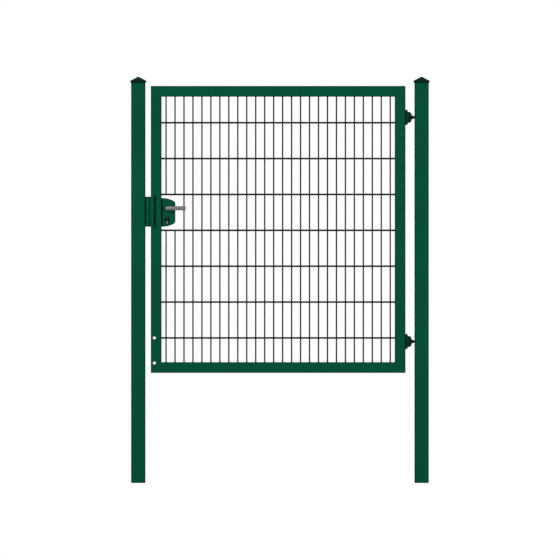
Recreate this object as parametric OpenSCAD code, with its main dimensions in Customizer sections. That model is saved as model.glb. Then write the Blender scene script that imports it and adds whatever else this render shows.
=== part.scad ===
// Tubular frame gate: one leaf of welded tube with a double-rod wire mat, hung
// between two square posts, with a lever lock, a keeper and two adjustable hinges.
// Millimetres. Origin: centre of the hinge post's foot. +X points away from the leaf,
// -Y is the side with the stop plate, +Z is up. The leaf opens towards +Y.

/* [Opening] */
// Clear width between the two posts
clear_w = 1500; // [1000:10:2000]
// Gap between the latch post and the lock stile
latch_gap = 30; // [28:1:40]
// Height of the leaf's underside above the foot of the posts
leaf_lift = 614; // [100:1:900]

/* [Posts] */
// Outer width of the square post tube
post_w = 80; // [70:1:120]
// Wall thickness of the post tube
post_wall = 3; // [2:0.5:5]
// Outer corner radius of the post tube
post_corner_r = 6; // [5.5:0.5:10]
// How far the post tube rises above the leaf
post_over = 26; // [5:1:150]

/* [Post caps] */
// How far the eave stands out past the post
cap_eave = 6.5; // [4:0.5:12]
// Height of the pyramid above the eave
cap_rise = 24; // [8:1:50]
// Height of the eave's upright edge
cap_edge_h = 2.5; // [1:0.5:10]
// Height of the slanted underside of the eave
cap_taper_h = 7; // [3:0.5:9]
// Height of the skirt, from the eave to its lower rim
cap_skirt_h = 11; // [10:0.5:25]
// Wall of the skirt
cap_rim = 1.3; // [1:0.1:3]

/* [Leaf frame] */
// Height of the leaf
leaf_h = 1600; // [1400:10:1650]
// Width of the frame tube, seen from the front
frame_w = 60; // [50:1:80]
// Depth of the frame tube, from front to back
frame_d = 40; // [36:1:46]
// Wall thickness of the frame tube
frame_wall = 2; // [1.5:0.5:3]
// Outer corner radius of the frame tube
frame_corner_r = 4; // [3.5:0.5:6]
// Diameter of the two holes for a drop bolt
drop_hole_d = 16; // [10:1:18]
// Distance of the drop bolt holes from the lock stile's outer edge
drop_hole_inset = 20; // [15:1:25]
// Height of the lower drop bolt hole above the leaf's underside
drop_hole_up = 55; // [45:1:70]
// Distance between the two drop bolt holes
drop_hole_pitch = 140; // [80:5:200]

/* [Wire mat] */
// Diameter of the single upright wires
wire_v = 8; // [4:0.5:9]
// Diameter of the paired level wires
wire_h = 10; // [5:0.5:11]
// Distance between upright wires
pitch_x = 50; // [40:5:60]
// Distance between level wires
pitch_z = 200; // [196:1:205]
// Height of the lowest level wire above the leaf's underside
wire_first = 195; // [190:1:205]
// How far the welded wires sink into each other
weld_bite = 0.5; // [0.3:0.1:1]

/* [Hinges] */
// Distance from each hinge's centre to the leaf's top or bottom
hinge_inset = 175; // [120:5:260]
// Distance from the hinge pin to the hinge stile
pivot_to_leaf = 20; // [19:0.5:21]
// Distance from the hinge pin to the hinge post
pivot_to_post = 30; // [29:1:40]
// Thickness of the bracket's base plate
plate_t = 6; // [4:0.5:7]
// Depth of the bracket's base plate
plate_d = 30; // [30:1:34]
// How far the base plate runs past the centre of each screw
plate_edge = 5.5; // [5.5:0.5:15]
// Height of the bracket's rounded body
bracket_h = 62; // [56:1:70]
// Radius of the bracket's rounded corners, seen from the front
bracket_round_r = 17; // [10:1:20]
// Radius of the bracket's nose round the pin, seen from above
nose_r = 15; // [14:0.5:15.5]
// Thickness of the bracket's front wall
front_wall = 3.1; // [2:0.1:3.3]
// How far past the pin the front wall reaches
front_wall_reach = 7; // [4:1:9]
// Diameter of the hinge pin
pin_d = 12; // [8:1:14]
// Radius of the eye on the pin
eye_r = 11.5; // [9:0.5:11.5]
// Height of the eye
eye_h = 28; // [20:1:30]
// Distance from the pin to the eye's flat nose
eye_nose = 13; // [12:0.5:17]
// Diameter of the eye bolt's threaded shank
shank_d = 16; // [12:1:18]
// Thickness of the nut that is welded inside the post for the shank
weld_nut_t = 13; // [8:1:20]
// How far the shank comes out of the welded nut
shank_past = 6; // [2:1:20]
// Width across the flats of the nuts on the shank
nut_af = 24; // [22:0.5:24.5]
// Thickness of the lock nut
nut_t = 8; // [5:0.5:10]
// Diameter of the screws that hold the brackets
screw_d = 6; // [4:0.5:6]
// Width across the flats of the screw heads
screw_af = 10; // [8:0.5:10]
// Height of the screw heads
screw_head_h = 5; // [3:0.5:6]
// Length of the screws under the head
screw_l = 14; // [10:1:30]

/* [Lock] */
// How many gaps between level wires, counted from the lowest, it takes to reach the lock's
lock_bay_count = 4; // [3:1:5]
// Thickness of the plate between the lock case and the stile
base_t = 5; // [3:0.5:8]
// Width of the lock case beyond its base plate
case_w = 72; // [66:1:80]
// Height of the lock case
case_h = 160; // [154:1:170]
// Depth of the lock case
case_d = 38; // [34:1:40]
// Radius of the case's long arcs at its top and bottom
case_arc_r = 131; // [110:1:200]
// Radius of the case's rounded outer corners
case_corner_r = 18; // [8:1:25]
// Distance from the stile to the spindle and the cylinder
backset = 30; // [23:0.5:33]
// Height of the spindle above the middle of the case
spindle_up = 23; // [22:0.5:25]
// Height of the latch above the middle of the case
latch_up = 49; // [48:0.5:52]
// Height of the deadbolt above the middle of the case
deadbolt_up = -9; // [-10:0.5:-8]
// Height of the cylinder's plug above the middle of the case
plug_up = -40; // [-42:0.5:-36]
// Height of the latch
latch_h = 24; // [16:1:25]
// Thickness of the latch
latch_t = 14; // [10:1:16]
// How far the latch stands out of the stile
latch_out = 16; // [12:1:17]
// Height of the deadbolt
deadbolt_h = 30; // [20:1:31]
// Thickness of the deadbolt
deadbolt_t = 16; // [12:1:18]
// How far the resting deadbolt stays inside the stile's outer face
deadbolt_in = 1.5; // [0.5:0.5:4]
// Length of the latch and of the deadbolt inside the lock case
bolt_tail = 30; // [20:1:36]
// Free depth behind the tails, for the latch to slide back
tail_room = 24; // [20:1:28]
// Radius of the cylinder's round part
cylinder_r = 8.5; // [8:0.1:9]
// Width of the cylinder's lower web
web_w = 10; // [8:0.5:11]
// Height of the cylinder from the top of its round part to its lower end
cylinder_h = 33; // [30:0.5:36]
// How far the cylinder stands out of each face of the case
cylinder_out = 4; // [3.5:0.5:8]
// Diameter of the turning plug
plug_d = 13; // [11:0.5:14]
// Height of the key slot
key_slot_h = 8.5; // [6:0.5:9]
// Width of the key slot
key_slot_w = 2.2; // [1.5:0.1:3]
// Depth of the key slot
key_slot_depth = 14; // [8:1:18]
// Wall of the collar round the cylinder
collar_wall = 3.5; // [1.5:0.1:4]
// Thickness of the collar round the cylinder
collar_t = 2.5; // [1.5:0.5:3]

/* [Handle] */
// Length of the lever, end to end
lever_l = 116; // [90:1:140]
// Height of the lever
lever_h = 23; // [19:1:26]
// Thickness of the lever
lever_t = 9; // [6:1:14]
// Free depth for fingers between the case and the lever
finger_gap = 36; // [30:1:50]
// Radius of the lever's outer corners
lever_corner_r = 3; // [1:0.5:6]
// Diameter of the lever's neck
neck_d = 17; // [14:1:18]
// Width of the square spindle
spindle_w = 8; // [6:0.5:9]
// How far the spindle reaches into each neck
spindle_in = 20; // [10:1:24]
// Outer diameter of the bush round each neck
bush_d = 26; // [22:1:28]
// Thickness of the bush on the case
bush_t = 3; // [2:0.5:6]

/* [Keeper] */
// Height of the keeper
keeper_h = 168; // [160:1:190]
// How far the keeper's middle lies above the lock's
keeper_up = 4; // [0:1:8]
// Thickness of the keeper's steel plate
keeper_t = 4; // [3:0.5:5]
// How far the keeper's base reaches back along the post's side
keeper_back = 24; // [20:1:34]
// Width of the keeper's box, from the post to the step
keeper_box_w = 21; // [15:1:22]
// Width of the slanted step
keeper_step_w = 4; // [2:0.5:4]
// How far the box stands forward of the stop plate
keeper_step = 6.5; // [3:0.5:8]
// How far the keeper's stop plate overlaps the leaf
keeper_overlap = 24.5; // [20:0.5:32]
// Width of the rubber edge on the stop plate
buffer_w = 11; // [7:0.5:14]
// Rubber between the stop plate and the leaf
buffer_pad = 3.2; // [2:0.1:5]
// Rubber in front of the stop plate and past its edge
buffer_skin = 2.5; // [1.5:0.5:4]
// How far the rubber edge rises above the stop plate
buffer_over = 4.5; // [2:0.5:10]

/* [Hidden] */

// Colours
coat_green = [0.012, 0.31, 0.225];
mat_green = [0.05, 0.16, 0.125];
cap_green = [0.03, 0.13, 0.1];
bracket_green = [0.04, 0.19, 0.15];
black_steel = [0.05, 0.055, 0.055];
black_plastic = [0.03, 0.035, 0.035];
rubber_green = [0.01, 0.12, 0.08];
grey_metal = [0.46, 0.46, 0.46];
bright_metal = [0.7, 0.7, 0.7];

// Clearances
slide_fit = 0.3;     // round parts that seat in or slide past each other
run_fit = 0.05;      // a pin or plug that turns in its bore
bolt_room = 1;       // round the latch and the deadbolt inside the case
wire_room = 5;       // between the lock case and a cut wire
eps = 1;             // overshoot of a cut past the face that it opens
screw_flange_t = 1.5;
screw_flange_grow = 0.6;   // how much wider than the hexagon the screw's flange is
screw_gap = 0.5;           // between a screw's head and the bracket's body
pin_recess = 1;            // how far the pin's ends lie inside the bracket
screw_hole_fit = 0.25;
spindle_bore_fit = 0.6;
thread_fit = 0.1;
min_inner_r = 0.8;
arc_steps = 8;
wire_sides = 8;
round_fn = 64;

// Leaf
leaf_w = clear_w - latch_gap - pivot_to_leaf - pivot_to_post;
leaf_r = -post_w / 2 - pivot_to_post - pivot_to_leaf;  // hinge edge
leaf_l = leaf_r - leaf_w;                              // lock edge
leaf_top = leaf_lift + leaf_h;
stile_in = leaf_l + frame_w;                           // lock stile's inner face
mat_w = leaf_w - 2 * frame_w;
mat_h = leaf_h - 2 * frame_w;

// Posts and pivot
post_h = leaf_top + post_over;                         // length of the post tube
latch_post_x = -post_w - clear_w;
latch_face_x = latch_post_x + post_w / 2;
pivot_x = leaf_r + pivot_to_leaf;
hinge_heights = [leaf_top - hinge_inset, leaf_lift + hinge_inset];

// Hinges
screw_pitch = bracket_h + screw_af + 2 * screw_gap;
plate_h = screw_pitch + 2 * plate_edge;
pin_l = bracket_h - 2 * pin_recess;
shank_end_x = -post_w / 2 + post_wall + weld_nut_t + shank_past;

// Wire mat
upright_count = round(mat_w / pitch_x);
upright_x0 = stile_in + (mat_w - (upright_count - 1) * pitch_x) / 2;
level_z0 = leaf_lift + wire_first;
level_count = floor((leaf_top - frame_w - wire_h - level_z0) / pitch_z) + 1;
level_y = wire_v / 2 + wire_h / 2 - weld_bite;

// Lock
lock_z = level_z0 + (lock_bay_count - 0.5) * pitch_z;
case_x = stile_in + base_t;
spindle_x = stile_in + backset;
spindle_z = lock_z + spindle_up;
latch_z = lock_z + latch_up;
deadbolt_z = lock_z + deadbolt_up;
plug_z = lock_z + plug_up;
bolt_end_x = case_x + bolt_tail;
lock_window = [level_z0 + (lock_bay_count - 1) * pitch_z, level_z0 + lock_bay_count * pitch_z];
lever_y = case_d / 2 + finger_gap;

// Keeper, in the distance u from the latch post's face and in y
leaf_front_y = -frame_d / 2;
buffer_back_y = leaf_front_y - slide_fit;
stop_y = buffer_back_y - buffer_pad;          // back face of the stop plate
keeper_edge_u = latch_gap + keeper_overlap;   // free edge of the stop plate
keeper_z = lock_z + keeper_up - keeper_h / 2; // its lower end

// ---------------------------------------------------------------- helpers

// Points of an arc round [cx, cy], from angle a to angle b
function arc(cx, cy, r, a, b, n = arc_steps) =
    [for (i = [0:n]) let (t = a + (b - a) * i / n) [cx + r * cos(t), cy + r * sin(t)]];

// A flat rectangle with round corners, centred on the origin
module rounded_rect(w, d, r) {
    square([w - 2 * r, d], center = true);
    square([w, d - 2 * r], center = true);
    for (sx = [-1, 1], sy = [-1, 1])
        translate([sx * (w / 2 - r), sy * (d / 2 - r)])
            circle(r, $fn = round_fn);
}

// The section of a square or oblong tube
module tube_section(w, d, wall, r) {
    difference() {
        rounded_rect(w, d, r);
        rounded_rect(w - 2 * wall, d - 2 * wall, max(r - wall, min_inner_r));
    }
}

// Turns a flat shape in x and z into a solid, t thick and centred on y = 0
module front_plate(t) {
    rotate([90, 0, 0]) linear_extrude(t, center = true) children();
}

// A straight wire of few sides along z, d across its flats
module wire(d, l) {
    rotate([0, 0, 180 / wire_sides])
        cylinder(d = d / cos(180 / wire_sides), h = l, $fn = wire_sides);
}

// A hexagonal prism along x, af across its flats, with a corner at the top
module hexagon_x(af, l) {
    rotate([0, 90, 0]) cylinder(d = af / cos(30), h = l, $fn = 6);
}

// A cylinder along x that starts at x = 0
module rod_x(d, l) {
    rotate([0, 90, 0]) cylinder(d = d, h = l, $fn = round_fn);
}

// A cylinder along y, centred on y = 0
module rod_y(d, l) {
    rotate([90, 0, 0]) cylinder(d = d, h = l, center = true, $fn = round_fn);
}

// Puts its children at the front and, mirrored, at the back of the leaf
module both_sides() {
    children();
    mirror([0, 1, 0]) children();
}

// ---------------------------------------------------------------- posts

// A square post tube that stands at x. Each height in holes gets a threaded hole with
// a nut welded behind it.
module post(x, holes = []) {
    color(coat_green) difference() {
        union() {
            translate([x, 0, 0])
                linear_extrude(post_h) tube_section(post_w, post_w, post_wall, post_corner_r);
            for (z = holes)
                translate([x - post_w / 2 + post_wall / 2, 0, z])
                    hexagon_x(nut_af, weld_nut_t + post_wall / 2);
        }
        for (z = holes)
            translate([x - post_w / 2 - eps, 0, z])
                rod_x(shank_d + 2 * thread_fit, post_wall + weld_nut_t + 2 * eps);
    }
}

// The outline of a cap, the same from the front and from the side
module cap_outline() {
    skirt = post_w / 2 + slide_fit + cap_rim;
    eave = post_w / 2 + cap_eave;
    polygon([
        [-skirt, -cap_skirt_h], [skirt, -cap_skirt_h], [skirt, -cap_taper_h],
        [eave, 0], [eave, cap_edge_h],
        [0, cap_edge_h + cap_rise],
        [-eave, cap_edge_h], [-eave, 0], [-skirt, -cap_taper_h]
    ]);
}

// A pyramid cap that sits over the top of the post at x
module post_cap(x) {
    span = post_w + 2 * (cap_eave + eps);
    pocket = post_w + 2 * slide_fit;
    color(cap_green) translate([x, 0, post_h]) difference() {
        intersection() {
            front_plate(span) cap_outline();
            rotate([0, 0, 90]) front_plate(span) cap_outline();
        }
        translate([0, 0, -cap_skirt_h - eps]) linear_extrude(cap_skirt_h + eps)
            rounded_rect(pocket, pocket, post_corner_r + slide_fit);
    }
}

// ---------------------------------------------------------------- keeper

// The bent steel angle on the latch post that the leaf shuts against
module keeper() {
    front = stop_y - keeper_t - keeper_step;
    step_end = keeper_box_w + keeper_step_w;
    inner_shift = keeper_t / 2;
    color(coat_green) translate([latch_face_x, 0, keeper_z])
        linear_extrude(keeper_h) polygon([
            [0, keeper_back], [0, front],
            [keeper_box_w, front], [step_end, stop_y - keeper_t],
            [keeper_edge_u, stop_y - keeper_t], [keeper_edge_u, stop_y],
            [step_end - inner_shift, stop_y], [keeper_box_w - inner_shift, front + keeper_t],
            [keeper_t, front + keeper_t], [keeper_t, keeper_back]
        ]);
}

// The rubber edge that is slipped down over the stop plate, closed at its top
module keeper_buffer() {
    deep = buffer_pad + keeper_t + buffer_skin;
    color(rubber_green)
        translate([latch_face_x + keeper_edge_u + buffer_skin, 0, keeper_z])
            difference() {
                translate([-buffer_w, buffer_back_y - deep, 0])
                    cube([buffer_w, deep, keeper_h + buffer_over]);
                translate([-buffer_w - eps, stop_y - keeper_t, -eps])
                    cube([buffer_w + eps - buffer_skin, keeper_t, keeper_h + eps]);
            }
}

// ---------------------------------------------------------------- leaf frame

// A frame tube along x with mitred ends and its long side at z = 0
module mitred_tube(l) {
    intersection() {
        rotate([90, 0, 90]) linear_extrude(l)
            translate([0, frame_w / 2])
                tube_section(frame_d, frame_w, frame_wall, frame_corner_r);
        front_plate(frame_d + 2 * eps)
            polygon([[0, 0], [l, 0], [l - frame_w, frame_w], [frame_w, frame_w]]);
    }
}

// The slots that the latch and the deadbolt slide through, from x0 to x1
module bolt_slots(x0, x1, room) {
    translate([x0, -latch_t / 2 - room, latch_z - latch_h / 2 - room])
        cube([x1 - x0, latch_t + 2 * room, latch_h + 2 * room]);
    translate([x0, -deadbolt_t / 2 - room, deadbolt_z - deadbolt_h / 2 - room])
        cube([x1 - x0, deadbolt_t + 2 * room, deadbolt_h + 2 * room]);
}

// The stile that carries the lock
module lock_stile() {
    color(coat_green) difference() {
        translate([leaf_l, 0, leaf_top]) rotate([0, 90, 0]) mitred_tube(leaf_h);
        bolt_slots(leaf_l - eps, stile_in + eps, slide_fit);
        for (i = [0, 1])
            translate([leaf_l + drop_hole_inset, 0, leaf_lift + drop_hole_up + i * drop_hole_pitch])
                rod_y(drop_hole_d, frame_d + 2 * eps);
    }
}

// The stile that carries the hinge brackets
module hinge_stile() {
    color(coat_green) difference() {
        translate([leaf_r, 0, leaf_lift]) rotate([0, -90, 0]) mitred_tube(leaf_h);
        for (z = hinge_heights, s = [-1, 1])
            translate([leaf_r - frame_wall - eps, 0, z + s * screw_pitch / 2])
                rod_x(screw_d + 2 * screw_hole_fit, frame_wall + 2 * eps);
    }
}

module top_rail() {
    color(coat_green) translate([leaf_l, 0, leaf_top]) rotate([180, 0, 0]) mitred_tube(leaf_w);
}

module bottom_rail() {
    color(coat_green) translate([leaf_l, 0, leaf_lift]) mitred_tube(leaf_w);
}

// Single upright wires between pairs of level wires. The uprights stop above and
// below the lock case.
module wire_mat() {
    bottom = leaf_lift + frame_w;
    color(mat_green) union() {
        for (i = [0:upright_count - 1]) {
            x = upright_x0 + i * pitch_x;
            cut = x - wire_v / 2 - wire_room < case_x + case_w;
            if (cut) {
                translate([x, 0, bottom]) wire(wire_v, lock_window[0] + wire_h / 2 - bottom);
                translate([x, 0, lock_window[1] - wire_h / 2])
                    wire(wire_v, leaf_top - frame_w - lock_window[1] + wire_h / 2);
            } else {
                translate([x, 0, bottom]) wire(wire_v, mat_h);
            }
        }
        for (k = [0:level_count - 1], s = [-1, 1])
            translate([stile_in, s * level_y, level_z0 + k * pitch_z])
                rotate([0, 90, 0]) wire(wire_h, mat_w);
    }
}

// ---------------------------------------------------------------- hinges

// The bracket's body seen from the front, from the base plate to its nose
module bracket_outline() {
    nose = pivot_to_leaf + nose_r;
    half = bracket_h / 2;
    r = bracket_round_r;
    polygon(concat(
        [[0, -half]],
        arc(nose - r, r - half, r, -90, 0),
        arc(nose - r, half - r, r, 0, 90),
        [[0, half]]
    ));
}

// A base plate with a rounded, forked body that turns round the eye
module hinge_bracket(z) {
    color(bracket_green) translate([leaf_r, 0, z]) difference() {
        union() {
            translate([0, -plate_d / 2, -plate_h / 2]) cube([plate_t, plate_d, plate_h]);
            intersection() {
                front_plate(2 * nose_r) bracket_outline();
                union() {
                    translate([pivot_to_leaf, 0, -bracket_h / 2])
                        cylinder(r = nose_r, h = bracket_h, $fn = round_fn);
                    translate([0, -nose_r, -bracket_h / 2])
                        cube([pivot_to_leaf, 2 * nose_r, bracket_h]);
                }
            }
        }
        eye_room();
        translate([pivot_to_leaf, 0, 0])
            cylinder(d = pin_d + 2 * run_fit, h = bracket_h + 2 * eps, center = true, $fn = round_fn);
        for (s = [-1, 1])
            translate([-eps, 0, s * screw_pitch / 2])
                rod_x(screw_d + 2 * screw_hole_fit, plate_t + 2 * eps);
    }
}

// The fork's slot: open at the nose and the back, closed by the wall in front
module eye_room() {
    slot_h = eye_h + 2 * slide_fit;
    reach = 2 * nose_r;
    wall_end = pivot_to_leaf + front_wall_reach;
    translate([plate_t, front_wall - nose_r, -slot_h / 2]) cube([pivot_to_leaf + reach, 2 * reach, slot_h]);
    translate([wall_end, -reach, -slot_h / 2]) cube([reach, 2 * reach, slot_h]);
}

module hinge_pin(z) {
    color(bright_metal) translate([pivot_x, 0, z])
        cylinder(d = pin_d, h = pin_l, center = true, $fn = round_fn);
}

// The eye on the pin, with a square nose and a threaded shank into the post
module eye_bolt(z) {
    nose_half = min(eye_r, nut_af / 2) - slide_fit;
    color(black_steel) translate([pivot_x, 0, z]) difference() {
        union() {
            cylinder(r = eye_r, h = eye_h, center = true, $fn = round_fn);
            translate([0, -nose_half, -eye_h / 2]) cube([eye_nose, 2 * nose_half, eye_h]);
            rod_x(shank_d, shank_end_x - pivot_x);
        }
        cylinder(d = pin_d + 2 * run_fit, h = eye_h + 2 * eps, center = true, $fn = round_fn);
    }
}

// The nut that locks the shank against the eye's nose
module lock_nut(z) {
    color(black_steel) translate([pivot_x + eye_nose, 0, z]) difference() {
        hexagon_x(nut_af, nut_t);
        translate([-eps, 0, 0]) rod_x(shank_d + 2 * thread_fit, nut_t + 2 * eps);
    }
}

// The two flanged screws that hold one bracket to the hinge stile
module bracket_screws(z) {
    color(black_steel)
        for (s = [-1, 1])
            translate([leaf_r + plate_t, 0, z + s * screw_pitch / 2]) {
                rod_x(screw_af + screw_flange_grow, screw_flange_t);
                rotate([90, 0, 0]) hexagon_x(screw_af, screw_flange_t + screw_head_h);
                translate([-screw_l, 0, 0]) rod_x(screw_d, screw_l + screw_flange_t);
            }
}

// ---------------------------------------------------------------- lock

// The case seen from the front: long arcs at top and bottom, rounded outer corners
module case_outline() {
    half = case_h / 2;
    far = case_arc_r - case_corner_r;
    corner_x = case_w - case_corner_r;
    arc_z = half - case_arc_r;
    corner_z = arc_z + sqrt(far * far - corner_x * corner_x);
    meet = atan2(corner_z - arc_z, corner_x);
    polygon(concat(
        arc(0, -arc_z, case_arc_r, -90, -meet),
        arc(corner_x, -corner_z, case_corner_r, -meet, 0),
        arc(corner_x, corner_z, case_corner_r, 0, meet),
        arc(0, arc_z, case_arc_r, meet, 90)
    ));
}

// The section of the profile cylinder: a round part over a narrow web
module cylinder_section(grow = 0) {
    web_r = web_w / 2;
    web_end = cylinder_h - cylinder_r - web_r;
    circle(cylinder_r + grow, $fn = round_fn);
    translate([-web_r - grow, -web_end]) square([web_w + 2 * grow, web_end]);
    translate([0, -web_end]) circle(web_r + grow, $fn = round_fn);
}

module lock_base() {
    color(black_plastic) difference() {
        translate([stile_in, -case_d / 2, lock_z - case_h / 2]) cube([base_t, case_d, case_h]);
        bolt_slots(stile_in - eps, case_x + eps, slide_fit);
    }
}

module lock_case() {
    color(coat_green) difference() {
        translate([case_x, 0, lock_z]) front_plate(case_d) case_outline();
        bolt_slots(case_x - eps, bolt_end_x + tail_room, bolt_room);
        translate([spindle_x, 0, spindle_z])
            rod_y(spindle_w * sqrt(2) + 2 * spindle_bore_fit, case_d + 2 * eps);
        translate([spindle_x, 0, plug_z]) front_plate(case_d + 2 * eps) cylinder_section(slide_fit);
    }
}

// The round bushes that the handle's necks turn in
module handle_bushes() {
    color(black_plastic) both_sides()
        translate([spindle_x, -case_d / 2 - bush_t / 2, spindle_z]) difference() {
            rod_y(bush_d, bush_t);
            rod_y(neck_d + 2 * slide_fit, bush_t + 2 * eps);
        }
}

// The collars that cover the edge of the cylinder's cut-out
module cylinder_collars() {
    web_end = cylinder_h - cylinder_r - web_w / 2;
    color(black_plastic) both_sides()
        translate([spindle_x, -case_d / 2 - collar_t / 2, plug_z]) front_plate(collar_t)
            difference() {
                hull() {
                    circle(cylinder_r + collar_wall, $fn = 32);
                    translate([0, -web_end]) circle(web_w / 2 + collar_wall, $fn = 32);
                }
                cylinder_section(slide_fit);
            }
}

module lock_cylinder() {
    l = case_d + 2 * cylinder_out;
    color(bright_metal) translate([spindle_x, 0, plug_z]) difference() {
        front_plate(l) cylinder_section();
        rod_y(plug_d + 2 * run_fit, l + 2 * eps);
    }
}

module key_plug() {
    l = case_d + 2 * cylinder_out;
    color(bright_metal) translate([spindle_x, 0, plug_z]) difference() {
        rod_y(plug_d, l);
        both_sides()
            translate([-key_slot_w / 2, -l / 2 - eps, -key_slot_h / 2])
                cube([key_slot_w, key_slot_depth + eps, key_slot_h]);
    }
}

// The latch, with its tip slanted on the side that meets the keeper first
module latch_bolt() {
    half = latch_t / 2;
    slant = latch_out * 0.75;
    color(bright_metal) translate([leaf_l, 0, latch_z - latch_h / 2])
        linear_extrude(latch_h) polygon([
            [-latch_out, half], [-latch_out, half * 0.4], [slant - latch_out, -half],
            [bolt_end_x - leaf_l, -half], [bolt_end_x - leaf_l, half]
        ]);
}

module deadbolt() {
    color(bright_metal)
        translate([leaf_l + deadbolt_in, -deadbolt_t / 2, deadbolt_z - deadbolt_h / 2])
            cube([bolt_end_x - leaf_l - deadbolt_in, deadbolt_t, deadbolt_h]);
}

// ---------------------------------------------------------------- handle

// The lever seen from the front: round at the spindle, square at its free end
module lever_outline() {
    half = lever_h / 2;
    free_end = lever_l - half;
    r = lever_corner_r;
    polygon(concat(
        arc(0, 0, half, 90, 270, 2 * arc_steps),
        arc(free_end - r, r - half, r, -90, 0),
        arc(free_end - r, half - r, r, 0, 90)
    ));
}

// A lever on its neck, on the front of the lock
module handle() {
    neck_l = finger_gap - slide_fit;
    socket = spindle_w + 2 * thread_fit;
    color(grey_metal) translate([spindle_x, 0, spindle_z]) difference() {
        union() {
            translate([0, -lever_y - lever_t / 2, 0]) front_plate(lever_t) lever_outline();
            translate([0, -lever_y + neck_l / 2, 0]) rod_y(neck_d, neck_l);
        }
        translate([-socket / 2, -case_d / 2 - spindle_in - slide_fit, -socket / 2])
            cube([socket, spindle_in + 2 * slide_fit, socket]);
    }
}

module front_handle() {
    handle();
}

module back_handle() {
    mirror([0, 1, 0]) handle();
}

module spindle() {
    l = case_d + 2 * spindle_in;
    color(bright_metal) translate([spindle_x - spindle_w / 2, -l / 2, spindle_z - spindle_w / 2])
        cube([spindle_w, l, spindle_w]);
}

// ---------------------------------------------------------------- nodes

post(latch_post_x);  // latch_post
post(0, hinge_heights);  // hinge_post
post_cap(latch_post_x);  // latch_post_cap
post_cap(0);  // hinge_post_cap
keeper();
keeper_buffer();
eye_bolt(hinge_heights[0]);  // upper_eye_bolt
eye_bolt(hinge_heights[1]);  // lower_eye_bolt
lock_nut(hinge_heights[0]);  // upper_lock_nut
lock_nut(hinge_heights[1]);  // lower_lock_nut
lock_stile();
hinge_stile();
top_rail();
bottom_rail();
wire_mat();
hinge_bracket(hinge_heights[0]);  // upper_hinge_bracket
hinge_bracket(hinge_heights[1]);  // lower_hinge_bracket
hinge_pin(hinge_heights[0]);  // upper_hinge_pin
hinge_pin(hinge_heights[1]);  // lower_hinge_pin
bracket_screws(hinge_heights[0]);  // upper_bracket_screws
bracket_screws(hinge_heights[1]);  // lower_bracket_screws
lock_base();
lock_case();
handle_bushes();
cylinder_collars();
lock_cylinder();
front_handle();
back_handle();
spindle();
latch_bolt();
deadbolt();
key_plug();
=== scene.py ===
import logging
import math
from dataclasses import dataclass
from enum import Enum
from typing import Any, Iterable, Optional, Sequence, Union

import bmesh
import bpy
from bmesh.types import BMEdge, BMFace, BMVert
from bpy.types import Material, Node, NodeSocket, NodeTree, Object, Scene
from mathutils import Matrix, Vector


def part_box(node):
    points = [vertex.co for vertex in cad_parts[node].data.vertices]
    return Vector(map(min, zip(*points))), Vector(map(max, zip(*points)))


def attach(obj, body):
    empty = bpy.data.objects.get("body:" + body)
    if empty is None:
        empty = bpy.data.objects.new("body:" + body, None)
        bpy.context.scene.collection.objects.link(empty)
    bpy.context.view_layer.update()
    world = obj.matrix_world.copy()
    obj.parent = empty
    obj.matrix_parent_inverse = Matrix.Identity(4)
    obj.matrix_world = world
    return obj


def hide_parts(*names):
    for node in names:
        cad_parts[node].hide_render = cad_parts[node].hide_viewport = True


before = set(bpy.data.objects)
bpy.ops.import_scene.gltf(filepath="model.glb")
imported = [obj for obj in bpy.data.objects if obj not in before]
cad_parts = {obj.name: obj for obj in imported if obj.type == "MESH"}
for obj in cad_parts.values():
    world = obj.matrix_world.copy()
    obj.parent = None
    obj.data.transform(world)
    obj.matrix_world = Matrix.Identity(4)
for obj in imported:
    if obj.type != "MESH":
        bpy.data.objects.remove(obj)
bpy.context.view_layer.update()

LOG = logging.getLogger("gate")
MADE: dict[str, Material] = {}          # the finishes that are made already
MERGE = 1e-6            # points closer than this are one point
SMOOTH_UNDER = 34.0     # degrees between faces that still shade as one surface
PAINTED_SHADE = "rim"             # attribute that is 1 where a piece's rounded edges get painted shade
SQUARE = 50.0           # degrees, above which a cut or bent edge counts as square
FLAT = 1.0              # degrees, below which the faces of a CAD mesh are one flat face
CORNER_STEPS = 4        # faces round an outline's rounded corner

Colour = tuple[float, float, float]
Flat = tuple[float, float]
Point = Union[Vector, tuple[float, float, float]]


# ------------------------------------------------------------------ names

class Axis(Enum):
    """A direction of the shared frame, with a direction that lies across it."""

    X = ((1.0, 0.0, 0.0), (0.0, 0.0, 1.0))
    Y = ((0.0, 1.0, 0.0), (0.0, 0.0, 1.0))
    Z = ((0.0, 0.0, 1.0), (1.0, 0.0, 0.0))

    @property
    def along(self) -> Vector:
        """The direction itself."""
        return Vector(self.value[0])

    @property
    def across(self) -> Vector:
        """A direction at a right angle to it."""
        return Vector(self.value[1])


class Plane(Enum):
    """A plane to draw in: its first and second direction, and its turning axis."""

    FRONT = ((1, 0, 0), (0, 0, 1), (0, -1, 0))
    PLAN = ((1, 0, 0), (0, 1, 0), (0, 0, 1))

    def place(self, point: Flat, level: float) -> Vector:
        """Puts a point of the plane into space.

        Args:
            point: the two distances in the plane.
            level: the plane's own place, along X, Y or Z.

        Returns:
            The point in the shared frame.
        """
        first, second, normal = (Vector(v) for v in self.value)
        upward = Vector(tuple(abs(c) for c in normal))
        return first * point[0] + second * point[1] + upward * level

    @property
    def turning(self) -> Vector:
        """The axis round which a positive angle goes from the first to the second."""
        return Vector(self.value[2])


class Body(Enum):
    """The moving bodies of the gate."""

    POSTS = "posts"
    LEAF = "leaf"
    HANDLE = "handle"
    LATCH = "latch"
    BOLT = "bolt"
    PLUG = "plug"


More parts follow.
